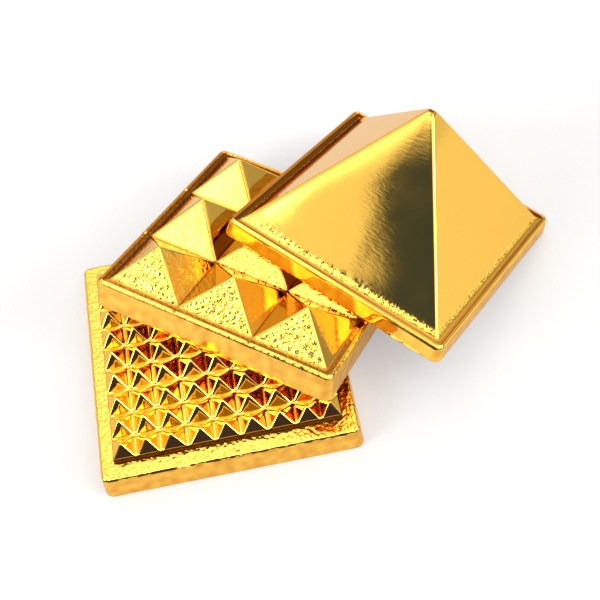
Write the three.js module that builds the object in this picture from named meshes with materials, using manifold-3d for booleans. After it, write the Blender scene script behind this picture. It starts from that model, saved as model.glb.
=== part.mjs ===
// A layered pyramid set in gold-coloured cast brass: three loose square castings that nest on
// each other, shown fanned out. The base plate lies flat, the middle plate leans on it with one
// corner on the table, and the big pyramid leans on the middle plate in the same way.
// Millimetres, +Z up. The origin is the centre of the base plate's underside, on the table.
import * as THREE from "three";
import { mergeVertices } from "three/addons/utils/BufferGeometryUtils.js";
import Module from "manifold-3d";

const wasm = await Module();
wasm.setup();

// Sizes that all three castings share
const draft = 0.5; // how far each skirt's foot stands out past its rim, on each side
const cornerRadius = 1.3; // the upright corners
const nestClearance = 0.6; // between a casting and the hollow of the next one up, when stacked
const seatGap = 0.35; // kept between castings that lean on each other, measured straight down
const cornerSteps = 4;

// Base plate: nine by nine small pyramids on a raised pad
const borderWidth = 3; // flat border beside the pad
const baseBorderHeight = 6.25;
const baseEdgeRound = 0.5;
const padWidth = 44;
const padDepth = 43.2;
const padStep = 1; // upright side of the pad, above the border
const smallRise = 3.2; // from the valleys to the points
const smallTip = 0.12; // half width of the blunt points
const valleyFill = 0.6; // the valleys' flat floors lie this far above the pad's edge
// The pattern was cut by hand, so its points aren't evenly spaced: steps from the pad's edge to
// the first point, from point to point and to the far edge, from the left and from the front
const columnSteps = [2.1, 4.8, 4.8, 5.6, 4.9, 5, 5.4, 5.2, 4.4, 1.8];
const rowSteps = [1.95, 4.95, 4.9, 5.3, 5.1, 4.7, 4.8, 4.8, 4.7, 2];

// Middle plate: three by three pyramids inside a beaded rim
const middleWall = 2.4; // skirt, from the rim's outside to the hollow
const rimWidth = 1.9; // from the outside of the rim to the foot of the pyramids
const beadWidth = 0.85;
const beadHeight = 0.4; // rim bead above the groove behind it
const roofThickness = 1; // metal between the groove's floor and the hollow underneath
const largeRise = 6.9; // from the valleys to the points
const largeTip = 0.2; // half width of the blunt points
// Steps from the field's edge to the points and to the far edge, as on the base
const largeColumnSteps = [6.9, 16.2, 15.5, 7.6];
const largeRowSteps = [6.3, 17, 15.6, 7.3];

// Top casting: one big pyramid shell
const topWall = 0.75; // skirt, from the rim's outside to the hollow
const topSkirt = 3.9; // height of the rim bead
const topGroove = 0.35; // depth of the groove behind the bead
const topRise = 28.05; // from the groove to the point
const topShell = 1.8; // thickness of the sloping walls
const footFillet = 0.35; // between the groove and the sloping faces
const ridgeRadius = 0.5;
const topTip = 0.6; // half width of the blunt point
const tipRound = 0.3; // height of the rounding at the point

// The leaning pose of the two upper castings: where the lowest corner stands on the table, the
// casting's turn about the upright, and the direction of the level line that it tips about
const middleCornerX = 48.15;
const middleCornerY = 17.15;
const middleTurnAngle = -36; // degrees
const middleTipAngle = 132.2; // degrees
const topCornerX = 73.35;
const topCornerY = 15.85;
const topTurnAngle = -44; // degrees
const topTipAngle = 112.1; // degrees

// Sizes that follow from how the castings nest
const padHalf = padWidth / 2;
const baseHalf = padHalf + borderWidth;
const middleHollowHalf = padHalf + nestClearance;
const middleHalf = middleHollowHalf + middleWall;
const middleHollowDepth = padStep + smallRise + nestClearance;
const middleFloor = middleHollowDepth + roofThickness;
const middleRim = middleFloor + beadHeight;
const fieldHalf = middleHalf - rimWidth;
const topHollowHalf = fieldHalf + nestClearance;
const topHalf = topHollowHalf + topWall;
const overcut = padStep; // how far cutting shapes pass the face that they open

const brass = { color: 0xd9a531, roughness: 0.28, metalness: 1 };

// The outline of a square with rounded corners, anticlockwise, at one height
function squareRing([half, z, radius]) {
  const r = Math.min(radius, half);
  const ring = [];
  for (let corner = 0; corner < 4; corner += 1) {
    const start = (corner * Math.PI) / 2;
    const middle = start + Math.PI / 4;
    const reach = (half - r) * Math.SQRT2;
    for (let i = 0; i <= cornerSteps; i += 1) {
      const angle = start + ((Math.PI / 2) * i) / cornerSteps;
      ring.push([
        reach * Math.cos(middle) + r * Math.cos(angle),
        reach * Math.sin(middle) + r * Math.sin(angle),
        z,
      ]);
    }
  }
  return ring;
}

function closedGeometry(points, faces) {
  const geometry = new THREE.BufferGeometry();
  geometry.setAttribute("position", new THREE.Float32BufferAttribute(points.flat(), 3));
  geometry.setIndex(faces.flat());
  return geometry;
}

// A profile swept round a square, from the underside's middle to the top's middle.
// Each profile point is [half width, height, corner radius].
function squareLathe(profile) {
  const rings = profile.map(squareRing);
  const count = rings[0].length;
  const points = rings.flat();
  const faces = [];
  for (let level = 0; level + 1 < rings.length; level += 1) {
    for (let i = 0; i < count; i += 1) {
      const a = level * count + i;
      const b = level * count + ((i + 1) % count);
      faces.push([a, b, b + count], [a, b + count, a + count]);
    }
  }
  const last = (rings.length - 1) * count;
  const under = points.push([0, 0, profile[0][1]]) - 1;
  const over = points.push([0, 0, profile[profile.length - 1][1]]) - 1;
  for (let i = 0; i < count; i += 1) {
    const next = (i + 1) % count;
    faces.push([under, next, i], [over, last + i, last + next]);
  }
  return closedGeometry(points, faces);
}

// A pyramid cut off flat, over a rectangular foot that is sunk a little into what carries it.
// Each of foot and roof is [left, right, front, back].
function cutPyramid(foot, roof, footHeight, roofHeight) {
  const sink = 0.1 * roofHeight;
  const round = ([left, right, front, back], z) => [
    [left, front, z], [right, front, z], [right, back, z], [left, back, z],
  ];
  const points = [
    ...round(foot, footHeight - sink),
    ...round(foot, footHeight),
    ...round(roof, roofHeight),
  ];
  const faces = [[0, 2, 1], [0, 3, 2], [8, 9, 10], [8, 10, 11]];
  for (let i = 0; i < 4; i += 1) {
    const j = (i + 1) % 4;
    faces.push([i, j, 4 + j], [i, 4 + j, 4 + i], [4 + i, 4 + j, 8 + j], [4 + i, 8 + j, 8 + i]);
  }
  return closedGeometry(points, faces);
}

// Cells across a field, from steps between its points that are scaled to fill its side. The
// valleys lie half way between the points.
function cellsAlong(steps, side) {
  const total = steps.reduce((sum, step) => sum + step, 0);
  const peaks = [];
  let reached = -side / 2;
  for (const step of steps.slice(0, -1)) {
    reached += (step * side) / total;
    peaks.push(reached);
  }
  const valleys = peaks.slice(1).map((peak, i) => (peak + peaks[i]) / 2);
  return { peaks, edges: [-side / 2, ...valleys, side / 2] };
}

function solidOf(geometry) {
  const bare = geometry.clone();
  bare.deleteAttribute("normal");
  bare.deleteAttribute("uv");
  const merged = mergeVertices(bare, 1e-4);
  return new wasm.Manifold(
    new wasm.Mesh({
      numProp: 3,
      vertProperties: new Float32Array(merged.attributes.position.array),
      triVerts: new Uint32Array(merged.index.array),
    }),
  );
}

function geometryOf(solid) {
  const { vertProperties, triVerts } = solid.getMesh();
  const geometry = new THREE.BufferGeometry();
  geometry.setAttribute("position", new THREE.BufferAttribute(vertProperties, 3));
  geometry.setIndex(new THREE.BufferAttribute(triVerts, 1));
  geometry.computeVertexNormals();
  return geometry;
}

// A field of pyramids joined to the casting that carries it
function withField(solid, columns, rows, foot, rise, tip) {
  let made = solid;
  columns.peaks.forEach((x, i) => {
    rows.peaks.forEach((y, j) => {
      const cell = [columns.edges[i], columns.edges[i + 1], rows.edges[j], rows.edges[j + 1]];
      const point = [x - tip, x + tip, y - tip, y + tip];
      made = made.add(solidOf(cutPyramid(cell, point, foot, foot + rise)));
    });
  });
  return made;
}

// The flat floor of the valleys: it ends in the outer faces of the outer pyramids
function valleyFloor(columns, rows, foot, rise, fill) {
  const spans = [columns, rows].flatMap(({ edges, peaks }) => [
    [edges[0], peaks[0]],
    [edges[edges.length - 1], peaks[peaks.length - 1]],
  ]);
  const roof = spans.map(([edge, peak]) => edge + ((peak - edge) * fill) / rise);
  return cutPyramid(spans.map(([edge]) => edge), roof, foot, foot + fill);
}

function basePlate() {
  const half = baseHalf;
  const shoulder = half - baseEdgeRound;
  const plate = squareLathe([
    [half + draft, 0, cornerRadius + draft],
    [half, baseBorderHeight - baseEdgeRound, cornerRadius],
    [half - 0.3 * baseEdgeRound, baseBorderHeight - 0.3 * baseEdgeRound, cornerRadius],
    [shoulder, baseBorderHeight, cornerRadius],
    [padHalf - borderWidth, baseBorderHeight, cornerRadius],
  ]);
  const foot = baseBorderHeight + padStep;
  const columns = cellsAlong(columnSteps, padWidth);
  const rows = cellsAlong(rowSteps, padDepth);
  const pad = new THREE.BoxGeometry(padWidth, padDepth, 2 * padStep).translate(0, 0, baseBorderHeight);
  const floor = valleyFloor(columns, rows, foot, smallRise, valleyFill);
  const body = solidOf(plate).add(solidOf(pad)).add(solidOf(floor));
  return withField(body, columns, rows, foot, smallRise, smallTip);
}

// Vees cut across the rim, where the valleys run out of the field
function rimNotches(columns, rows) {
  const depth = 3 * beadHeight;
  const reach = rimWidth + 2 * draft;
  const notchEnd = rimWidth / 20;
  const notchLift = beadHeight / 20;
  const spread = (depth * (columns.peaks[1] - columns.edges[1])) / largeRise;
  const vee = new THREE.Shape([
    new THREE.Vector2(0, 0),
    new THREE.Vector2(spread, depth),
    new THREE.Vector2(-spread, depth),
  ]);
  const cutter = new THREE.ExtrudeGeometry(vee, { depth: reach, bevelEnabled: false });
  cutter.rotateX(Math.PI / 2).translate(0, notchEnd - fieldHalf, middleFloor + notchLift);
  // Front, right, back and left: the quarter turns reverse the last two
  return [columns, rows, columns, rows].flatMap(({ edges }, quarter) => {
    const facing = quarter < 2 ? 1 : -1;
    const valleys = edges.slice(1, -1);
    return valleys.map((valley) =>
      cutter.clone().translate(facing * valley, 0, 0).rotateZ((quarter * Math.PI) / 2),
    );
  });
}

function middlePlate() {
  const half = middleHalf;
  const bead = half - beadWidth;
  const plate = squareLathe([
    [half + draft, 0, cornerRadius + draft],
    [half, middleRim - beadHeight, cornerRadius],
    [half - 0.12 * beadWidth, middleRim - 0.35 * beadHeight, cornerRadius],
    [half - 0.4 * beadWidth, middleRim, cornerRadius],
    [half - 0.7 * beadWidth, middleRim - 0.2 * beadHeight, cornerRadius],
    [bead, middleFloor, cornerRadius],
    [fieldHalf - rimWidth, middleFloor, cornerRadius],
  ]);
  const hollow = squareLathe([
    [middleHollowHalf, -overcut, cornerRadius],
    [middleHollowHalf, middleHollowDepth, cornerRadius],
  ]);
  const columns = cellsAlong(largeColumnSteps, 2 * fieldHalf);
  const rows = cellsAlong(largeRowSteps, 2 * fieldHalf);
  let body = withField(solidOf(plate), columns, rows, middleFloor, largeRise, largeTip);
  for (const notch of rimNotches(columns, rows)) body = body.subtract(solidOf(notch));
  return body.subtract(solidOf(hollow));
}

function topPyramid() {
  const half = topHalf;
  const bead = half - beadWidth;
  const foot = half - rimWidth;
  const floor = topSkirt - topGroove;
  const slope = (topRise - tipRound) / (foot - topTip);
  const shell = squareLathe([
    [half + draft, 0, cornerRadius + draft],
    [half, topSkirt - beadHeight, cornerRadius],
    [half - 0.12 * beadWidth, topSkirt - 0.35 * beadHeight, cornerRadius],
    [half - 0.4 * beadWidth, topSkirt, cornerRadius],
    [half - 0.7 * beadWidth, topSkirt - 0.2 * beadHeight, cornerRadius],
    [bead, floor, cornerRadius],
    [foot + footFillet / 2, floor, ridgeRadius],
    [foot - footFillet, floor + footFillet * slope, ridgeRadius],
    [topTip, floor + topRise - tipRound, ridgeRadius],
    [topTip * 0.5, floor + topRise, ridgeRadius * 0.5],
  ]);
  // The hollow's faces run parallel to the outer ones, one shell thickness inside
  const inward = (topShell * Math.hypot(1, slope)) / slope;
  const wallTop = floor - (topHollowHalf - foot + inward) * slope;
  const lip = Math.max(wallTop, 0); // the slope meets the upright wall here, or runs down to the foot
  const mouth = topHollowHalf - (lip - wallTop) / slope;
  const hollow = squareLathe([
    [mouth, -overcut, ridgeRadius],
    [mouth, lip, ridgeRadius],
    [topTip, wallTop + (topHollowHalf - topTip) * slope, ridgeRadius],
  ]);
  return solidOf(shell).subtract(solidOf(hollow));
}

// The matrix that tips a casting about its lowest corner and stands that corner on the table
function leaning(casting, half, stance, lean, lowest) {
  const line = THREE.MathUtils.degToRad(stance.tipAngle);
  const axis = new THREE.Vector3(Math.cos(line), Math.sin(line), 0);
  const tip = new THREE.Quaternion().setFromAxisAngle(axis, lean);
  const up = new THREE.Vector3(0, 0, 1);
  const turn = THREE.MathUtils.degToRad(stance.turnAngle);
  const round = new THREE.Quaternion().setFromAxisAngle(up, turn);
  const matrix = new THREE.Matrix4().makeRotationFromQuaternion(tip.multiply(round));
  const foot = new THREE.Vector3(half + draft, half + draft, 0).applyMatrix4(matrix);
  matrix.setPosition(stance.cornerX - foot.x, stance.cornerY - foot.y, 0);
  const box = casting.transform(matrix.elements).boundingBox();
  matrix.elements[14] = lowest - box.min[2];
  return matrix;
}

// The smallest lean at which a casting clears the ones below it by the seat gap
function seated(casting, half, stance, below) {
  const place = (lean, drop) => leaning(casting, half, stance, lean, -drop);
  const touches = (lean) =>
    below.some((other) => !casting.transform(place(lean, seatGap).elements).intersect(other).isEmpty());
  let low = 0;
  let high = Math.PI / 4;
  for (let i = 0; i < 22; i += 1) {
    const lean = (low + high) / 2;
    if (touches(lean)) low = lean;
    else high = lean;
  }
  return place(high, 0);
}

function meshOf(name, solid) {
  const mesh = new THREE.Mesh(geometryOf(solid), new THREE.MeshStandardMaterial(brass));
  mesh.name = name;
  return mesh;
}

const set = new THREE.Group();
const base = basePlate();
const middle = middlePlate();
const top = topPyramid();
set.add(meshOf("base_plate", base));

const middleStance = {
  cornerX: middleCornerX,
  cornerY: middleCornerY,
  turnAngle: middleTurnAngle,
  tipAngle: middleTipAngle,
};
const middlePlace = seated(middle, middleHalf, middleStance, [base]);
const middleSeated = middle.transform(middlePlace.elements);
const middleGroup = new THREE.Group();
middleGroup.applyMatrix4(middlePlace);
middleGroup.add(meshOf("middle_plate", middle));
set.add(middleGroup);

const topStance = {
  cornerX: topCornerX,
  cornerY: topCornerY,
  turnAngle: topTurnAngle,
  tipAngle: topTipAngle,
};
const topPlace = seated(top, topHalf, topStance, [base, middleSeated]);
const topGroup = new THREE.Group();
topGroup.applyMatrix4(topPlace);
topGroup.add(meshOf("top_pyramid", top));
set.add(topGroup);

export default set;
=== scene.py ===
"""Looks of a nesting pyramid set: three gold-coloured brass castings, fanned out on a pale table.

Each casting is modelled in its own millimetres, centred on its foot, and then laid in its CAD place.
Its upper surface is a fine grid, where u and v are how far right and back of the middle a point lies,
and reach is the larger of the two, signs apart.
"""

import math
from bisect import bisect_right

import bmesh
import bpy
from mathutils import Matrix, Vector, noise


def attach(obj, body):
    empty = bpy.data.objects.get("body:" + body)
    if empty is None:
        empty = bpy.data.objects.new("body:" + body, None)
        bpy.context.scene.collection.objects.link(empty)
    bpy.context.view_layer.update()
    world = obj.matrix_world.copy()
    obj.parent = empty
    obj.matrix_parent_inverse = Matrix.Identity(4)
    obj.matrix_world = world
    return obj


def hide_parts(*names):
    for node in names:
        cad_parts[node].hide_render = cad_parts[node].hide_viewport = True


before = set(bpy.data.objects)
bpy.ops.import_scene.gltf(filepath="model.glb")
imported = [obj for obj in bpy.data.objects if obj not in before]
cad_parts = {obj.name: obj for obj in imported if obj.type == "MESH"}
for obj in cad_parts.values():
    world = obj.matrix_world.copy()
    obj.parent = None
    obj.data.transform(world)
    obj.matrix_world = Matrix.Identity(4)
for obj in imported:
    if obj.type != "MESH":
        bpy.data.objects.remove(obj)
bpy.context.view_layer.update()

MM = 0.001

# Sizes of the castings, in millimetres, as in the part's own source
CORNER_RADIUS = 1.3
DRAFT = 0.5
FOOT_ROUND = 0.25
NEST_CLEARANCE = 0.6

BORDER_HEIGHT = 6.25
PAD_WIDTH, PAD_DEPTH = 44.0, 43.2
PAD_STEP = 1.0
SMALL_RISE = 3.2
COLUMN_STEPS = (2.1, 4.8, 4.8, 5.6, 4.9, 5, 5.4, 5.2, 4.4, 1.8)
ROW_STEPS = (1.95, 4.95, 4.9, 5.3, 5.1, 4.7, 4.8, 4.8, 4.7, 2)

RIM_WIDTH = 1.9
BEAD_WIDTH = 0.85
BEAD_HEIGHT = 0.4
MIDDLE_HOLLOW_HALF = PAD_WIDTH / 2 + NEST_CLEARANCE
MIDDLE_HOLLOW_DEPTH = PAD_STEP + SMALL_RISE + NEST_CLEARANCE
ROOF_THICKNESS = 1.0
MIDDLE_FLOOR = MIDDLE_HOLLOW_DEPTH + ROOF_THICKNESS
LARGE_RISE = 6.9
LARGE_COLUMN_STEPS = (6.9, 16.2, 15.5, 7.6)
LARGE_ROW_STEPS = (6.3, 17, 15.6, 7.3)

TOP_WALL = 0.75
TOP_SKIRT = 3.9
TOP_GROOVE = 0.35
TOP_RISE = 28.05
TOP_SHELL = 1.8
TOP_TIP = 0.6
TIP_ROUND = 0.3

# A casting's own right is the side of its foot that points most this way in the row frame
RIGHT_HAND = Vector((1, -0.8, 0))
CORNER_INSET = 0.01  # keeps these rounder corners inside the faceted ones of the CAD

# Grids, in millimetres, and how many steps they take from each valley to each point
GRID_STEP = 0.21  # about one pixel of the photograph
SIDE_STEP = 0.8
SMALL_CELL_STEPS, LARGE_CELL_STEPS, TOP_CELL_STEPS = 13, 40, 110
NEAR = 0.01  # a point this near an edge counts as on it

# Filed upper edge of the base, in millimetres
FILED_EDGE = 0.52
FILED_LEVELS = (0, 0.13, 0.26, 0.39, FILED_EDGE, 0.68)  # grid lines, in from the outer edge
FILED_SLOPE = 1.08
FILED_SHORT = 0.08  # the edge wavers, and is this much narrower on average
FILED_SOFT = 0.05

# Pad of small pyramids, in millimetres
PAD_LEAN = 0.08  # the pad's sides lean out by this much
PAD_SHADE_WIDTH = 0.15  # width of the dark line of painted shade at the pad's foot
COLUMN_VALLEY_FLOOR = 0.4  # height of the worn valleys between the columns
ROW_VALLEY_FLOOR = 0.06  # and between the rows
ROW_BEND = 0.08  # the valleys between the rows bend back by this much between the points
SMALL_VALLEY_SOFT = 0.04
SMALL_RIDGE_CUT, SMALL_RIDGE_SOFT = 0.14, 0.05  # polished off the ridges

# Bead round the rims of the upper castings, in millimetres
BEAD_CREST = 0.55  # from the outer edge in to the bead's highest line
BEAD_DROP = 0.42  # from there down to the outer edge
BEAD_CURVE = 1.4
BEAD_FOOT = 0.1  # width of the bead's inner foot, which carries the groove's painted shade
BEAD_LEVELS = (0, 0.14, 0.28, 0.42, BEAD_CREST, BEAD_WIDTH)  # grid lines, in from the outer edge

# Three by three large pyramids, in millimetres
LARGE_RIDGE_CUT, LARGE_RIDGE_SOFT = 0.12, 0.06
LARGE_VALLEY_FLOOR, LARGE_VALLEY_SOFT = 0.05, 0.1
CREASE_HEIGHT = 0.3  # painted shade lies up to this height in the valleys
RIDGE_POLISH = 14  # grain fades to nothing over one part in this many of a face, at its ridges

# Big pyramid, in millimetres
TOP_RIDGE_CUT, TOP_RIDGE_SOFT = 0.16, 0.05
TIP_CUT, TIP_SOFT = 0.1, 0.5
TOP_FOOT_SOFT = 0.5
ROUGH_LINE_IN, ROUGH_LINE_WIDTH = 0.4, 0.5  # the rough line lies this far inside the face's foot
FACE_FADE = 2.0  # a face's wave and its ease fade out over this distance at its foot
RIDGE_EASE = 0.25  # the front face is polished down by this much at its left ridge
EASE_START = 3.0  # and fully so only this far from the tip
FRONT_EASE_WIDTH, LEFT_EASE_WIDTH = 2.0, 0.3
EASE_REACH = 4  # it ends this many widths from the ridge, and at the face's middle at the latest

# Skirts, in millimetres
WALL_WAVE, WAVE_WIDTH = 0.04, 3.5  # they are not quite flat
UNDERCUT_DEPTH, UNDERCUT_STEP = 0.05, 0.1  # thin dark line under the rim
ROUND_SHARE = 0.3  # the middle of a quarter round lies this share of its radius in from each side
STAIN_WIDTH = 1.8

# Ripples of the surfaces: the height and width of each in millimetres, and a seed of its own
EDGE_WANDER = ((0.1, 2.4, 5.2), (0.06, 0.8, 1.7))
BORDER_SAND = ((0.05, 0.6, 3.1), (0.025, 1.4, 5.2))
SMALL_WEAR = ((0.01, 0.9, 7.7),)
RIM_SAND = ((0.04, 0.6, 1.3),)
FACE_PITS = ((0.1, 1.0, 2.9), (0.07, 0.55, 8.3))
FOOT_SAND = ((0.06, 0.7, 4.4), (0.06, 1.6, 6.1))
FACE_WAVE = ((0.015, 6.0, 9.9),)

# Grain, from 0 where the casting is polished to 1 where it is as sandy as its mould; the sandiest skin
# is also painted paler, as painted glints
POLISHED = 0.05
BORDER_GRAIN = 0.75
RIM_GRAIN = 0.5
SKIRT_GRAIN, TOP_SKIRT_GRAIN = 0.2, 0.15
HOLLOW_GRAIN = 0.6
# The large pyramids' front faces: rows from the front, columns from the left
FRONT_GRAIN = ((0.85, 0.9, 1.0), (0.35, 0.8, 0.8), (0.2, 0.3, 0.3))
OTHER_GRAIN, FIRST_OTHER_GRAIN = 0.2, 0.6  # their other faces, and those of the front left one

# Tarnish and painted shade, from 0 where the casting is clean, over amber, to 1 where it is dark brown:
# mostly painted shade and painted reflection, and partly real stains on the skirts
# Painted shade and painted reflection, dark brown, at the pad's foot and down its walls
PAD_PAINTED_SHADE = 1.0
# Painted shade in the grooves behind the beads
MIDDLE_GROOVE_SHADE, TOP_GROOVE_SHADE = 0.45, 0.35
# Brown painted shade and painted reflection round the beads on the two far sides
FAR_RIM_SHADE, FAR_CREST_SHADE = 0.8, 0.35
# Painted shade in the valleys between the large pyramids
CREASE_SHADE = 0.7
# The big pyramid's tip is painted darker amber
TIP_DARKENING = 0.6
# Painted shade inside the hollows underneath
HOLLOW_SHADE = 0.6
# Dark painted shade in the undercut under each rim; amber on the ledges and skirts, partly real stains and
# partly painted shade
UNDERCUT_SHADE, LEDGE_STAIN_AND_SHADE, SKIRT_STAIN_AND_SHADE = 1.0, 0.3, 0.2
STAIN_MEAN, STAIN_SWING = 0.6, 1.4  # a skirt's stain and painted shade is patchy round this share of its own


def linear(hex_colour):
    """sRGB hex to the linear colour that nodes take."""
    parts = [int(hex_colour[i:i + 2], 16) / 255 for i in (1, 3, 5)]
    return [c / 12.92 if c <= 0.04045 else ((c + 0.055) / 1.055) ** 2.4 for c in parts] + [1]


def casting_place(node):
    """From a casting's own millimetres to the row frame, with half the width of its foot."""
    bm = bmesh.new()
    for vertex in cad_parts[node].data.vertices:
        bm.verts.new(vertex.co)
    bmesh.ops.remove_doubles(bm, verts=bm.verts, dist=1e-6)
    bmesh.ops.convex_hull(bm, input=bm.verts)
    bmesh.ops.dissolve_limit(bm, angle_limit=math.radians(0.5), verts=bm.verts, edges=bm.edges)
    foot = max(bm.faces, key=lambda face: face.calc_area())
    up = -foot.normal
    side = max(foot.edges, key=lambda edge: edge.calc_length())
    along = (side.verts[1].co - side.verts[0].co).normalized()
    across = up.cross(along)
    right = max((along, -along, across, -across), key=lambda way: way.dot(RIGHT_HAND))
    centre = foot.calc_center_median_weighted()
    half = max(abs((vertex.co - centre).dot(right)) for vertex in foot.verts)
    axes = Matrix((right, up.cross(right), up)).transposed()
    bm.free()
    return Matrix.Translation(centre) @ axes.to_4x4() @ Matrix.Scale(MM, 4), half / MM - CORNER_INSET


def stations(breaks):
    """Grid lines through every break, at most a grid step apart."""
    lines = [breaks[0]]
    for low, high in zip(breaks, breaks[1:]):
        count = max(1, math.ceil((high - low) / GRID_STEP - 1e-6))
        lines += [low + (high - low) * i / count for i in range(1, count + 1)]
    return lines


def cells_along(steps, side):
    """Edges and points of the cells across a field, from the steps between its points."""
    scale = side / sum(steps)
    peaks = [sum(steps[:i + 1]) * scale - side / 2 for i in range(len(steps) - 1)]
    valleys = [(a + b) / 2 for a, b in zip(peaks, peaks[1:])]
    return [-side / 2, *valleys, side / 2], peaks


def cell_lines(cells, count):
    """Grid lines with the same count from each valley to each point, so that ridges run along them."""
    edges, peaks = cells
    breaks = sorted([*edges, *peaks])
    lines = [breaks[0]]
    for low, high in zip(breaks, breaks[1:]):
        lines += [low + (high - low) * i / count for i in range(1, count + 1)]
    return lines


def bordered(inner, half, levels):
    """A field's grid lines with those of the border round it, from levels in from the outside."""
    low = stations([level - half for level in levels] + [inner[0]])[:-1]
    return low + inner + [-x for x in reversed(low)]


def soft_min(a, b, soft):
    return (a + b - math.sqrt((a - b) ** 2 + soft * soft)) / 2


def soft_max(a, b, soft):
    return (a + b + math.sqrt((a - b) ** 2 + soft * soft)) / 2


def ridged(a, b, cut, soft):
    """The lower of two slopes, with the ridge between them polished to a narrow flat."""
    return soft_min(soft_min(a, b, soft), (a + b) / 2 - cut, soft)


def cell_index(x, cells):
    """Which cell of a field a place lies in, from 0."""
    edges, peaks = cells
    return min(max(bisect_right(edges, x) - 1, 0), len(peaks) - 1)


def cell_share(x, cells):
    """How far up its slope a place lies, from 0 in the valley to 1 at the point, whether it is past
    the point, and whether the slope is one of the two outermost."""
    edges, peaks = cells
    i = cell_index(x, cells)
    side = edges[i + 1] if x > peaks[i] else edges[i]
    outer = x < peaks[0] or x > peaks[-1]
    return (side - x) / (side - peaks[i]), x > peaks[i], outer


def ripples(u, v, layers):
    """Height of some ripples. Each seed takes its own place in the same smooth noise."""
    return sum(
        height * noise.noise(Vector((u / width + seed, v / width - seed, 0.37 * seed)))
        for height, width, seed in layers
    )


def round_corner(u, v, half, radius):
    """Moves a point of a square grid so that the square's corners turn round."""
    inner = half - radius
    past_u, past_v = abs(u) - inner, abs(v) - inner
    if past_u <= 0 or past_v <= 0:
        return u, v
    pull = max(past_u, past_v) / math.hypot(past_u, past_v)
    return math.copysign(inner + past_u * pull, u), math.copysign(inner + past_v * pull, v)


def top_grid(bm, columns, rows, half, surface):
    """The upper surface of a casting. surface gives a point's height, grain and tarnish."""
    across, along = len(columns) - 1, len(rows) - 1
    bmesh.ops.create_grid(bm, x_segments=across, y_segments=along, size=1)
    grain = bm.verts.layers.float.new("grain")
    tarnish_and_shade = bm.verts.layers.float.new("tarnish_and_shade")
    for vertex in bm.verts:
        u = columns[round((vertex.co.x + 1) / 2 * across)]
        v = rows[round((vertex.co.y + 1) / 2 * along)]
        z, rough, darkness = surface(u, v)
        u, v = round_corner(u, v, half, CORNER_RADIUS)
        vertex.co = (u, v, z)
        vertex[grain] = rough
        vertex[tarnish_and_shade] = darkness
    split_on_ridges(bm)
    return grain, tarnish_and_shade


def split_on_ridges(bm):
    """Splits each bent quad of the grid along its higher diagonal, so that ridges stay sharp."""
    bend = 0.02
    for face in list(bm.faces):
        a, b, c, d = face.verts
        lift = a.co.z + c.co.z - b.co.z - d.co.z
        if abs(lift) > bend:
            bmesh.utils.face_split(face, *((a, c) if lift > 0 else (b, d)))


def outward(co, half, radius):
    """Unit way out of a rounded square from a point on its outline."""
    inner = half - radius
    way = Vector((co.x - min(max(co.x, -inner), inner), co.y - min(max(co.y, -inner), inner)))
    return way.normalized() if way.length > 1e-6 else Vector((0, 0))


def next_ring(bm, edges):
    """Extrudes an open edge loop, and gives the new loop's vertices and edges."""
    made = bmesh.ops.extrude_edge_only(bm, edges=edges)["geom"]
    ring = [part for part in made if isinstance(part, bmesh.types.BMVert)]
    return ring, [part for part in made if isinstance(part, bmesh.types.BMEdge) and part.is_boundary]


def drop_walls(bm, half, profile, layers):
    """Walls under a grid's outline. Each step of the profile is (way out, height, grain, wave, stain and
    painted shade).
    """
    grain, tarnish_and_shade = layers
    edges = [edge for edge in bm.edges if edge.is_boundary]
    reached = 0.0
    waves = []
    for out, z, rough, wave, darkening in profile:
        ring, edges = next_ring(bm, edges)
        for vertex in ring:
            way = outward(vertex.co, half + reached, CORNER_RADIUS + reached)
            vertex.co.x += way.x * (out - reached)
            vertex.co.y += way.y * (out - reached)
            vertex.co.z = z
            vertex[grain] = rough
            # patchy stain and painted shade
            patchiness = STAIN_MEAN + STAIN_SWING * noise.noise(vertex.co / STAIN_WIDTH)
            vertex[tarnish_and_shade] = min(1.0, max(0.0, darkening * patchiness))
        waves.append((ring, wave))
        reached = out
    for ring, wave in waves:
        for vertex in ring:
            way = outward(vertex.co, half, CORNER_RADIUS)
            sink = wave * (0.5 + 0.5 * noise.noise(vertex.co / WAVE_WIDTH))
            vertex.co.x -= way.x * sink
            vertex.co.y -= way.y * sink
    return edges


def close_hollow(bm, edges, levels, layers):
    """The hollow underneath, from its mouth up. Each level is (half width, height)."""
    grain, tarnish_and_shade = layers
    reach = max(abs(vertex.co.x) for edge in edges for vertex in edge.verts)
    for half, z in levels:
        ring, edges = next_ring(bm, edges)
        for vertex in ring:
            vertex.co.x *= half / reach
            vertex.co.y *= half / reach
            vertex.co.z = z
            vertex[grain] = HOLLOW_GRAIN
            # painted shade inside the hollow
            vertex[tarnish_and_shade] = HOLLOW_SHADE
        reach = half
    bmesh.ops.holes_fill(bm, edges=edges, sides=0)


def wall_profile(top, half_foot, half, grain):
    """Skirt from under the rim to the rounded foot."""
    spread = half_foot - half
    count = max(2, math.ceil((top - FOOT_ROUND) / SIDE_STEP))
    ledge = top - 2 * UNDERCUT_STEP
    # Painted shade, dark brown, in the undercut; amber on the ledge and the skirt, partly real stains and
    # partly painted shade
    steps = [
        (-UNDERCUT_DEPTH, top - UNDERCUT_STEP, grain, 0, UNDERCUT_SHADE),
        (0, ledge, grain, 0, LEDGE_STAIN_AND_SHADE),
    ]
    for i in range(1, count + 1):
        z = ledge + (FOOT_ROUND - ledge) * i / count
        steps.append((spread * (top - z) / top, z, grain, WALL_WAVE, SKIRT_STAIN_AND_SHADE))
    corner = ROUND_SHARE * FOOT_ROUND
    steps.append((spread - corner, corner, grain, WALL_WAVE, 0))
    steps.append((spread - FOOT_ROUND, 0, grain, 0, SKIRT_STAIN_AND_SHADE))
    return steps


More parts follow.
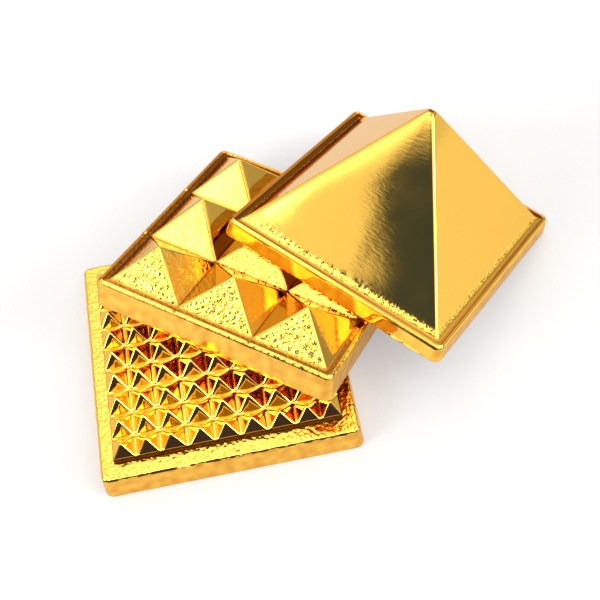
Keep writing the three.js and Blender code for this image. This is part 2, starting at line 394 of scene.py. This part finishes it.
def lay_pattern(bm):
    """A pattern map in the casting's own millimetres: across each face, and up it."""
    lean = 0.3  # a face whose normal rises or falls by less than this counts as upright
    layer = bm.loops.layers.uv.new("casting")
    bm.normal_update()
    for face in bm.faces:
        sideways = abs(face.normal.x) > abs(face.normal.y)
        upright = abs(face.normal.z) < lean
        for loop in face.loops:
            u, v, z = loop.vert.co
            across, along = (v, u) if sideways else (u, v)
            loop[layer].uv = (across, z if upright else along)


def finish_piece(bm, name, place, body, node, material):
    """Turns a bmesh in millimetres into a piece of the scene that stands for its CAD node."""
    lay_pattern(bm)
    bm.transform(place)
    bmesh.ops.recalc_face_normals(bm, faces=bm.faces)
    for face in bm.faces:
        face.smooth = len(face.verts) <= 4  # the flat underside and the hollows' roofs have more
    mesh = bpy.data.meshes.new(name)
    bm.to_mesh(mesh)
    bm.free()
    mesh.set_sharp_from_angle(angle=math.radians(60))
    piece = bpy.data.objects.new(name, mesh)
    bpy.context.scene.collection.objects.link(piece)
    mesh.materials.append(material)
    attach(piece, body)
    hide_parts(node)


def base_surface(half, columns, rows):
    """Border with its filed edge, pad step and the nine by nine small pyramids."""
    worn = COLUMN_VALLEY_FLOOR / SMALL_RISE

    def border(u, v, past_pad):
        reach = max(abs(u), abs(v))
        wander = ripples(u, v, EDGE_WANDER) - FILED_SHORT
        filed = BORDER_HEIGHT - FILED_SLOPE * (reach - half + FILED_EDGE + wander)
        cast = BORDER_HEIGHT + ripples(u, v, BORDER_SAND)
        rough = POLISHED if filed < cast else BORDER_GRAIN
        # painted shade and painted reflection: a dark brown line along the pad's foot
        return soft_min(cast, filed, FILED_SOFT), rough, PAD_PAINTED_SHADE if past_pad < PAD_SHADE_WIDTH else 0.0

    def surface(u, v):
        past_pad = max(abs(u) - PAD_WIDTH / 2, abs(v) - PAD_DEPTH / 2)
        if past_pad > NEAR:
            return border(u, v, past_pad)
        share_u, _, outer_u = cell_share(u, columns)
        share_v, _, outer_v = cell_share(v + ROW_BEND * (share_u - 1), rows)
        sides = (share_u, outer_u, COLUMN_VALLEY_FLOOR), (share_v, outer_v, ROW_VALLEY_FLOOR)
        slopes = []
        for share, outer, valley in sides:
            slope = SMALL_RISE * (worn + (1 - worn) * share if outer else share)
            slopes.append(soft_max(slope, valley, SMALL_VALLEY_SOFT))
        height = ridged(*slopes, SMALL_RIDGE_CUT, SMALL_RIDGE_SOFT) + SMALL_RIDGE_CUT / 2
        height += ripples(u, v, SMALL_WEAR)
        # the pad's outer edge is painted dark brown, as painted shade and painted reflection down its walls
        return BORDER_HEIGHT + PAD_STEP + height, POLISHED, PAD_PAINTED_SHADE if past_pad > -NEAR else 0.0

    return surface


def make_base(material):
    """Base plate: a solid casting whose underside is flat."""
    place, foot = casting_place("base_plate")
    half = foot - DRAFT
    columns, rows = cells_along(COLUMN_STEPS, PAD_WIDTH), cells_along(ROW_STEPS, PAD_DEPTH)
    lines = []
    for cells, side in ((columns, PAD_WIDTH), (rows, PAD_DEPTH)):
        levels = [*FILED_LEVELS, half - side / 2 - PAD_LEAN]
        lines.append(bordered(cell_lines(cells, SMALL_CELL_STEPS), half, levels))
    bm = bmesh.new()
    layers = top_grid(bm, *lines, half, base_surface(half, columns, rows))
    # The last ring is clean, so that the skirt's stain and painted shade don't run across the underside
    profile = wall_profile(BORDER_HEIGHT - FILED_EDGE, foot, half, SKIRT_GRAIN)
    profile.append((DRAFT - 2 * FOOT_ROUND, 0, SKIRT_GRAIN, 0, 0))
    rings = drop_walls(bm, half, profile, layers)
    bmesh.ops.holes_fill(bm, edges=rings, sides=0)
    finish_piece(bm, "base_casting", place, "base", "base_plate", material)


def bead_height(reach, half, floor, rim):
    """Rounded bead round the rim, above the floor of the groove behind it."""
    inward = half - reach
    if inward >= BEAD_WIDTH:
        return floor
    if inward <= BEAD_CREST:
        return rim - BEAD_DROP * ((BEAD_CREST - inward) / BEAD_CREST) ** BEAD_CURVE
    return floor + (rim - floor) * (1 - ((inward - BEAD_CREST) / (BEAD_WIDTH - BEAD_CREST)) ** 2)


def rim_shade(u, v, half, groove):
    """Painted shade in the groove behind the bead, and brown painted shade and painted reflection round the
    bead on the two far sides.
    """
    reach = max(abs(u), abs(v))
    inward = half - reach
    on_bead = inward < BEAD_WIDTH - BEAD_FOOT
    if max(-u, v) < reach - NEAR:
        return 0.0 if on_bead else groove
    return FAR_CREST_SHADE if on_bead and inward > BEAD_CREST / 2 else FAR_RIM_SHADE


def middle_surface(half, columns, rows):
    """Beaded rim with notches, groove and the three by three pyramids."""
    field = half - RIM_WIDTH
    slope = 2 * LARGE_RISE / LARGE_COLUMN_STEPS[1]
    rim = MIDDLE_FLOOR + BEAD_HEIGHT

    def surface(u, v):
        reach = max(abs(u), abs(v))
        if reach > field:
            z = bead_height(reach, half, MIDDLE_FLOOR, rim)
            along, edges = (u, columns[0]) if abs(v) > abs(u) else (v, rows[0])
            notch = min(abs(along - edge) for edge in edges[1:-1])
            z = min(z, MIDDLE_FLOOR + slope * notch) + ripples(u, v, RIM_SAND)
            # painted shade in the groove and on the far rims
            return z, RIM_GRAIN, rim_shade(u, v, half, MIDDLE_GROOVE_SHADE)
        share_u, _, _ = cell_share(u, columns)
        share_v, back, _ = cell_share(v, rows)
        slopes = share_u * LARGE_RISE, share_v * LARGE_RISE
        height = ridged(*slopes, LARGE_RIDGE_CUT, LARGE_RIDGE_SOFT) + LARGE_RIDGE_CUT / 2
        row, column = cell_index(v, rows), cell_index(u, columns)
        if share_v < share_u and not back:
            rough = FRONT_GRAIN[row][column]
        else:
            rough = FIRST_OTHER_GRAIN if row == column == 0 else OTHER_GRAIN
        height = soft_max(height, LARGE_VALLEY_FLOOR, LARGE_VALLEY_SOFT)
        away = min(1.0, abs(share_u - share_v) * RIDGE_POLISH)
        # painted shade, darker towards the valley floors between the large pyramids
        darkening = CREASE_SHADE * max(0.0, 1 - height / CREASE_HEIGHT)
        height += rough * rough * away * ripples(u, v, FACE_PITS)
        return MIDDLE_FLOOR + height, rough * away, darkening

    return surface


def make_middle(material):
    """Middle plate: hollow underneath, to nest on the base plate's pad."""
    place, foot = casting_place("middle_plate")
    half = foot - DRAFT
    field = half - RIM_WIDTH
    columns = cells_along(LARGE_COLUMN_STEPS, 2 * field)
    rows = cells_along(LARGE_ROW_STEPS, 2 * field)
    lines = [bordered(cell_lines(cells, LARGE_CELL_STEPS), half, BEAD_LEVELS) for cells in (columns, rows)]
    bm = bmesh.new()
    layers = top_grid(bm, *lines, half, middle_surface(half, columns, rows))
    rings = drop_walls(bm, half, wall_profile(MIDDLE_FLOOR, foot, half, SKIRT_GRAIN), layers)
    hollow = [(MIDDLE_HOLLOW_HALF, 0), (MIDDLE_HOLLOW_HALF, MIDDLE_HOLLOW_DEPTH)]
    close_hollow(bm, rings, hollow, layers)
    finish_piece(bm, "middle_casting", place, "middle", "middle_plate", material)


def ridge_ease(u, v):
    """Share of the ease at the big pyramid's left ridge: wide on the front face, where it narrows to
    nothing at the tip, and narrow on the left face."""
    if u >= 0 or v >= 0:
        return 0.0
    width = min(FRONT_EASE_WIDTH, -v / EASE_REACH) if u > v else min(LEFT_EASE_WIDTH, -u / EASE_REACH)
    return max(0.0, math.exp(-abs(u - v) / width) - math.exp(-EASE_REACH))


def top_surface(half):
    """Beaded rim, groove and one big pyramid with a rough line along its foot."""
    foot = half - RIM_WIDTH
    floor = TOP_SKIRT - TOP_GROOVE
    slope = TOP_RISE / (foot - TOP_TIP)

    def surface(u, v):
        reach = max(abs(u), abs(v))
        flat = bead_height(reach, half, floor, TOP_SKIRT)
        slopes = (foot - abs(u)) * slope, (foot - abs(v)) * slope
        face = soft_min(ridged(*slopes, TOP_RIDGE_CUT, TOP_RIDGE_SOFT), TOP_RISE - TIP_CUT, TIP_SOFT)
        z = soft_max(flat, floor + face, TOP_FOOT_SOFT)
        near_foot = math.exp(-((reach - foot + ROUGH_LINE_IN) / ROUGH_LINE_WIDTH) ** 2)
        inside = min(1.0, max(0.0, (foot - reach) / FACE_FADE))
        z += near_foot * ripples(u, v, FOOT_SAND) + inside * ripples(u, v, FACE_WAVE)
        z -= RIDGE_EASE * min(1.0, reach / EASE_START) * ridge_ease(u, v) * inside
        if reach > foot:
            # painted shade in the groove and on the far rims
            return z, near_foot, rim_shade(u, v, half, TOP_GROOVE_SHADE)
        # the tip is painted darker amber
        return z, near_foot, TIP_DARKENING if reach < TOP_TIP else 0.0

    return surface


def make_top(material):
    """Top pyramid: a hollow shell, to nest on the middle plate's pyramids."""
    place, foot = casting_place("top_pyramid")
    half = foot - DRAFT
    face_foot = half - RIM_WIDTH
    cells = [-face_foot, face_foot], [0]
    lines = bordered(cell_lines(cells, TOP_CELL_STEPS), half, BEAD_LEVELS)
    bm = bmesh.new()
    layers = top_grid(bm, lines, lines, half, top_surface(half))
    profile = wall_profile(TOP_SKIRT - BEAD_HEIGHT, foot, half, TOP_SKIRT_GRAIN)
    rings = drop_walls(bm, half, profile, layers)
    hollow_half = half - TOP_WALL
    slope = (TOP_RISE - TIP_ROUND) / (face_foot - TOP_TIP)
    inward = TOP_SHELL * math.hypot(1, slope) / slope
    wall_top = TOP_SKIRT - TOP_GROOVE - (hollow_half - face_foot + inward) * slope
    lip = max(wall_top, 0)
    mouth = hollow_half - (lip - wall_top) / slope
    peak = wall_top + (hollow_half - TOP_TIP) * slope
    close_hollow(bm, rings, [(mouth, 0), (TOP_TIP, peak)], layers)
    finish_piece(bm, "top_casting", place, "top", "top_pyramid", material)


def add_node(tree, kind, settings=None, **links):
    """Adds a node, sets its properties and inputs, and links what is an output socket. An input goes
    by its name, or by i and its number where a node has several of one name."""
    node = tree.nodes.new(kind)
    for name, value in (settings or {}).items():
        setattr(node, name, value)
    for key, value in links.items():
        socket = node.inputs[int(key[1:])] if key[0] == "i" and key[1:].isdigit() else node.inputs[key]
        if isinstance(value, bpy.types.NodeSocket):
            tree.links.new(value, socket)
        else:
            socket.default_value = value
    return node


# Patterns of the metal, in millimetres
SAND_WIDTH, SAND_DEPTH = 0.75, 0.25  # mould sand is about 0.35 mm, and is drawn coarser so that it shows
CLOUD_WIDTH = 6  # clouding from polishing
STREAK_LENGTH, STREAK_GAP, STREAK_DEPTH = 2, 0.3, 0.05  # polishing lines across the faces
STREAK_STRENGTH = 0.1  # how much they show where the metal is polished

# Roughness where the metal is polished and where it is sandy, and what clouding adds to it
POLISHED_ROUGHNESS, SANDY_ROUGHNESS, CLOUD_ROUGHNESS = 0.045, 0.13, 0.03


def gold_brass():
    """Cast brass with a thin bright gold plate: a warm yellow mirror on the polished faces, and a
    sandy, sparkling skin where the casting was left as it came from the mould."""
    material = bpy.data.materials.new("gold plated cast brass")
    material.use_nodes = True
    tree = material.node_tree
    shader = tree.nodes["Principled BSDF"]
    shader.inputs["Metallic"].default_value = 1
    shader.inputs["Specular Tint"].default_value = linear("#F2E4D4")
    place = add_node(tree, "ShaderNodeTexCoord").outputs["Object"]
    pattern = add_node(tree, "ShaderNodeUVMap", {"uv_map": "casting"}).outputs["UV"]
    grain = add_node(tree, "ShaderNodeAttribute", {"attribute_name": "grain"}).outputs["Fac"]
    tarnish_and_shade = add_node(tree, "ShaderNodeAttribute", {"attribute_name": "tarnish_and_shade"}).outputs["Fac"]

    sand = add_node(
        tree, "ShaderNodeTexNoise",
        Vector=place, Scale=1 / (SAND_WIDTH * MM), Detail=1.0, Roughness=0.4,
    ).outputs["Fac"]
    cloud = add_node(
        tree, "ShaderNodeTexNoise",
        Vector=place, Scale=1 / (CLOUD_WIDTH * MM), Detail=5.0, Roughness=0.6,
    ).outputs["Fac"]
    lines = add_node(
        tree, "ShaderNodeMapping", Vector=pattern, Scale=(1 / STREAK_LENGTH, 1 / STREAK_GAP, 1),
    ).outputs["Vector"]
    streak = add_node(
        tree, "ShaderNodeTexNoise", Vector=lines, Scale=1.0, Detail=3.0, Roughness=0.6,
    ).outputs["Fac"]

    # Clean gold, painted paler on the sandy skin as painted glints, in place of glints too small to draw.
    # Over
    # it lies amber and then dark brown: painted shade and painted reflection in valleys, grooves, hollows,
    # under rims, on the far rims and the pad's walls, and partly real stains on the skirts. Each goes with
    # an attribute, from where it starts to where it covers most, and how much that is.
    colour = linear("#F6C254")
    layers = (
        (grain, 0.5, 1.0, 0.5, "#FADC5A"),
        (tarnish_and_shade, 0.0, 0.5, 1.0, "#D0842E"),
        (tarnish_and_shade, 0.5, 1.0, 1.0, "#3B2210"),
    )
    for source, start, full, most, hex_colour in layers:
        cover = add_node(tree, "ShaderNodeMapRange", i0=source, i1=start, i2=full, i3=0.0, i4=most)
        colour = add_node(
            tree, "ShaderNodeMix", {"data_type": "RGBA"},
            i0=cover.outputs[0], i6=colour, i7=linear(hex_colour),
        ).outputs[2]
    tree.links.new(colour, shader.inputs["Base Color"])

    rough = add_node(tree, "ShaderNodeMapRange", i0=grain, i3=POLISHED_ROUGHNESS, i4=SANDY_ROUGHNESS)
    cloudy = add_node(tree, "ShaderNodeMapRange", i0=cloud, i1=0.35, i2=0.7, i3=0.0, i4=CLOUD_ROUGHNESS)
    roughness = add_node(
        tree, "ShaderNodeMath", {"operation": "ADD"}, i0=rough.outputs[0], i1=cloudy.outputs[0],
    )
    tree.links.new(roughness.outputs[0], shader.inputs["Roughness"])

    # Streaks fade out as the grain comes in, and the sand's relief goes with the grain squared
    lined = add_node(tree, "ShaderNodeMapRange", i0=grain, i3=STREAK_STRENGTH, i4=0.0)
    sandy = add_node(tree, "ShaderNodeMath", {"operation": "MULTIPLY"}, i0=grain, i1=grain)
    streaks = add_node(
        tree, "ShaderNodeBump",
        Strength=lined.outputs[0], Distance=STREAK_DEPTH * MM, Height=streak,
    )
    bump = add_node(
        tree, "ShaderNodeBump",
        Strength=sandy.outputs[0], Distance=SAND_DEPTH * MM, Height=sand, Normal=streaks.outputs["Normal"],
    )
    tree.links.new(bump.outputs["Normal"], shader.inputs["Normal"])
    return material


TABLE_RADIUS = 200  # in millimetres


def make_floor():
    """A plain pale round table, which glows a little so that the shadows on it stay soft."""
    bm = bmesh.new()
    bmesh.ops.create_circle(bm, cap_ends=True, segments=128, radius=TABLE_RADIUS * MM)
    mesh = bpy.data.meshes.new("table")
    bm.to_mesh(mesh)
    bm.free()
    floor = bpy.data.objects.new("table", mesh)
    bpy.context.scene.collection.objects.link(floor)
    material = bpy.data.materials.new("white laminate")
    material.use_nodes = True
    shader = material.node_tree.nodes["Principled BSDF"]
    shader.inputs["Base Color"].default_value = linear("#A2A1A0")
    shader.inputs["Roughness"].default_value = 0.6
    shader.inputs["Emission Color"].default_value = linear("#FFFFFF")
    shader.inputs["Emission Strength"].default_value = 0.32
    mesh.materials.append(material)


UP, DOWN = (0, 0, 1), (0, 0, -1)
FRONT, BACK, LEFT = (0, -1, 0), (0, 1, 0), (-1, 0, 0)

# An edge in the tent has a direction to its inner side, and the shares along it where the edge
# starts and ends to fade. The cloth brightens past each of these edges, from what it is at the table.
CLOTH_AT_TABLE = 0.4
CLOTH = (
    ((UP, 0.05, 0.55), 1.15),  # the sides
    ((UP, 0.8, 0.9), 1.9),  # the top
    ((DOWN, 0.0, 0.03), 0.9),  # below the table
)

# The tent's lamps and dim places, each a round patch: which way it lies, the degrees from its middle
# where it starts and ends to fade, and how bright it is. A later one covers an earlier one.
PATCHES = (
    ((0.46, 0.78, 0.4), 14, 20, 0.5),  # dim cloth, in the faces that look back and right
    ((0.0, 0.0, 1.0), 9, 13, 0.35),  # the tent's open top, low in the small pyramids' fronts
    ((0.58, 0.605, 0.55), 5, 9, 0.8),  # less dim, in the large pyramids' left faces
    ((-0.11, 0.5, 0.857), 2, 4, 4.0),  # in the valleys between the columns of small pyramids
    ((-0.22, 0.08, 0.97), 4, 8, 5.0),  # in the flats behind the beads
    ((-0.53, -0.12, 0.84), 5, 10, 2.2),  # in the big face, along its left ridge
    ((-0.44, -0.02, 0.89), 2.5, 5, 5.0),  # in the second row of large pyramids
    ((-0.67, -0.2, 0.715), 3, 7, 5.0),  # at the left end of the big face
    ((-0.84, -0.31, 0.48), 9, 14, 14.0),  # in the small pyramids' left ridges
    ((0.56, -0.32, 0.76), 13, 19, 5.0),  # in the large ridges
    ((0.82, -0.33, 0.46), 8, 14, 14.0),  # in the small pyramids' right ridges
    ((0.78, -0.08, 0.62), 9, 14, 1.1),  # plain cloth again, in the large pyramids' right faces
    ((0.74, -0.2, 0.64), 3, 6, 2.0),  # and a little brighter in the last of them
    ((0.0, -0.76, 0.65), 12, 20, 3.5),  # in the big pyramid's front skirt
)

# What isn't cloth, by the edges round it: the gap behind the table, and the open front, low down and
# high on the left, with a dim cool room behind it. The first edge of the high part shows across the
# big pyramid's front face.
GAP = ((BACK, 0.8, 0.9), (DOWN, -0.25, -0.1))
LOW_OPENING = ((FRONT, 0.5, 0.6), (DOWN, -0.5, -0.4))
HIGH_OPENING = (((0.8155, -0.4785, 0.326), -0.028, -0.018), (FRONT, 0.27, 0.31), (LEFT, 0.34, 0.4))
GAP_BRIGHTNESS, ROOM_BRIGHTNESS = 0.12, 1.0
LOW_ROOM_COLOUR, HIGH_ROOM_COLOUR = "#423D69", "#43527C"


def studio_light():
    """A light tent: bright cloth above and behind, dimmer towards the table, and an open dark front
    whose edge shows as the left edge of the dark half of the big pyramid's front face."""
    world = bpy.data.worlds.new("studio tent")
    bpy.context.scene.world = world
    world.use_nodes = True
    tree = world.node_tree
    way = add_node(tree, "ShaderNodeTexCoord").outputs["Generated"]

    def past(direction, start, end):
        """From 0 before an edge in the tent to 1 past it."""
        inwards = Vector(direction).normalized()
        share = add_node(tree, "ShaderNodeVectorMath", {"operation": "DOT_PRODUCT"}, i0=way, i1=inwards)
        return add_node(
            tree, "ShaderNodeMapRange", {"interpolation_type": "SMOOTHSTEP"},
            i0=share.outputs["Value"], i1=start, i2=end, i3=0.0, i4=1.0,
        ).outputs[0]

    def past_all(edges):
        """1 in a part of the tent with several edges, and 0 outside."""
        share = past(*edges[0])
        for edge in edges[1:]:
            share = add_node(
                tree, "ShaderNodeMath", {"operation": "MULTIPLY"}, i0=share, i1=past(*edge),
            ).outputs[0]
        return share

    def patch(middle, inner, outer):
        """1 in a round patch of the tent and 0 outside, by angles in degrees."""
        return past(middle, math.cos(math.radians(outer)), math.cos(math.radians(inner)))

    low, high = past_all(LOW_OPENING), past_all(HIGH_OPENING)
    seen = add_node(tree, "ShaderNodeLightPath").outputs["Is Camera Ray"]

    layers = [(past(*edge), bright) for edge, bright in CLOTH]
    layers += [(patch(middle, inner, outer), bright) for middle, inner, outer, bright in PATCHES]
    layers += [(past_all(GAP), GAP_BRIGHTNESS), (low, ROOM_BRIGHTNESS), (high, ROOM_BRIGHTNESS), (seen, 1.0)]
    light = CLOTH_AT_TABLE
    for share, bright in layers:
        light = add_node(
            tree, "ShaderNodeMix", {"data_type": "FLOAT"}, i0=share, i2=light, i3=bright,
        ).outputs[0]

    colour = linear("#FFFFFF")
    for share, hex_colour in ((low, LOW_ROOM_COLOUR), (high, HIGH_ROOM_COLOUR), (seen, "#FFFFFF")):
        colour = add_node(
            tree, "ShaderNodeMix", {"data_type": "RGBA"}, i0=share, i6=colour, i7=linear(hex_colour),
        ).outputs[2]
    background = tree.nodes["Background"]
    tree.links.new(colour, background.inputs["Color"])
    tree.links.new(light, background.inputs["Strength"])


# The camera as solved from the photograph, for a frame 600 pixels wide: angles in degrees, the
# focal length in pixels, and the row origin seen from the camera in millimetres
FOCAL_PIXELS = 1120.8
FRAME_PIXELS = 600
AZIMUTH, ELEVATION, ROLL = -1.545, 57.197, -9.968
ORIGIN_SEEN = Vector((-16.648, 12.346, 229.947))


def set_camera():
    """Stands the camera where the photograph was taken from."""
    azimuth, elevation, roll = (math.radians(angle) for angle in (AZIMUTH, ELEVATION, ROLL))
    back = Vector((
        math.sin(azimuth) * math.cos(elevation),
        -math.cos(azimuth) * math.cos(elevation),
        math.sin(elevation),
    ))
    level = (-back).cross(Vector(UP)).normalized()
    down = (-back).cross(level)
    right = level * math.cos(roll) - down * math.sin(roll)
    below = level * math.sin(roll) + down * math.cos(roll)
    place = -(right * ORIGIN_SEEN.x + below * ORIGIN_SEEN.y - back * ORIGIN_SEEN.z) * MM
    data = bpy.data.cameras.new("photo_camera")
    data.sensor_width = 36
    data.lens = FOCAL_PIXELS / FRAME_PIXELS * data.sensor_width
    data.clip_start = 0.01
    camera = bpy.data.objects.new("photo_camera", data)
    axes = Matrix((right, -below, back)).transposed()
    camera.matrix_world = Matrix.Translation(place) @ axes.to_4x4()
    bpy.context.scene.collection.objects.link(camera)
    bpy.context.scene.camera = camera


brass = gold_brass()
make_base(brass)
make_middle(brass)
make_top(brass)
make_floor()
studio_light()
set_camera()
bpy.context.scene.view_settings.view_transform = "Standard"
